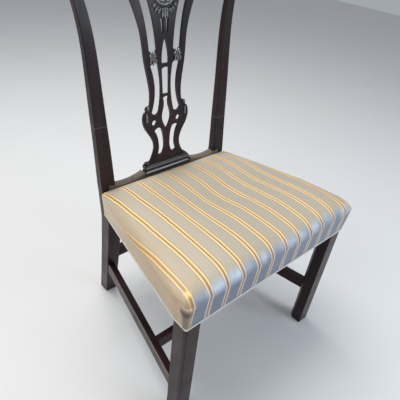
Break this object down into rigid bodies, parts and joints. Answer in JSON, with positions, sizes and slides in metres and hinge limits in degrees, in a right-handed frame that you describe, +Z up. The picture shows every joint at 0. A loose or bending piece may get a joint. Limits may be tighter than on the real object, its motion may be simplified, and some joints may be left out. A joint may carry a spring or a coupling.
{
  "type": "side chair",
  "caption": "Armless wooden side chair with raked back posts, a pierced vase splat, square front legs, stretchers and a crowned seat stuffed over its rails under striped cloth, edged with gimp",
  "frame": {"origin": "on the floor, under the middle of the whole chair", "axes": "+X to the right as seen from the front, +Y towards the back, +Z up; the chair faces -Y"},
  "size_m": [0.5458, 0.5084, 0.9646],
  "materials": {
    "mahogany": "dark red-brown mahogany, polished and worn",
    "beech": "bare sawn beech",
    "iron": "blued cut steel, dull",
    "webbing": "woven jute webbing",
    "hessian": "open woven hessian",
    "stuffing": "curled hair under wadding",
    "striped_silk": "ribbed silk with cream and gold stripes, worn",
    "gimp_braid": "narrow woven braid",
    "black_linen": "black dust-cover cloth"
  },
  "bodies": {
    "root": {"right_back_post": "mahogany", "left_back_post": "mahogany", "right_front_leg": "mahogany", "left_front_leg": "mahogany", "front_seat_rail": "beech", "back_seat_rail": "mahogany", "right_side_rail": "beech", "left_side_rail": "beech", "crest_rail": "mahogany", "splat": "mahogany", "splat_shoe": "mahogany", "shoe_brads": "iron", "right_side_stretcher": "mahogany", "left_side_stretcher": "mahogany", "cross_stretcher": "mahogany", "rear_stretcher": "mahogany", "right_front_corner_block": "beech", "left_front_corner_block": "beech", "right_back_corner_block": "beech", "left_back_corner_block": "beech", "corner_block_screws": "iron", "lengthways_webbing": "webbing", "crossways_webbing": "webbing", "webbing_tacks": "iron", "hessian": "hessian", "hair_pad": "stuffing", "seat_cover": "striped_silk", "gimp": "gimp_braid", "dust_cover": "black_linen", "dust_cover_tacks": "iron"}
  },
  "joints": []
}
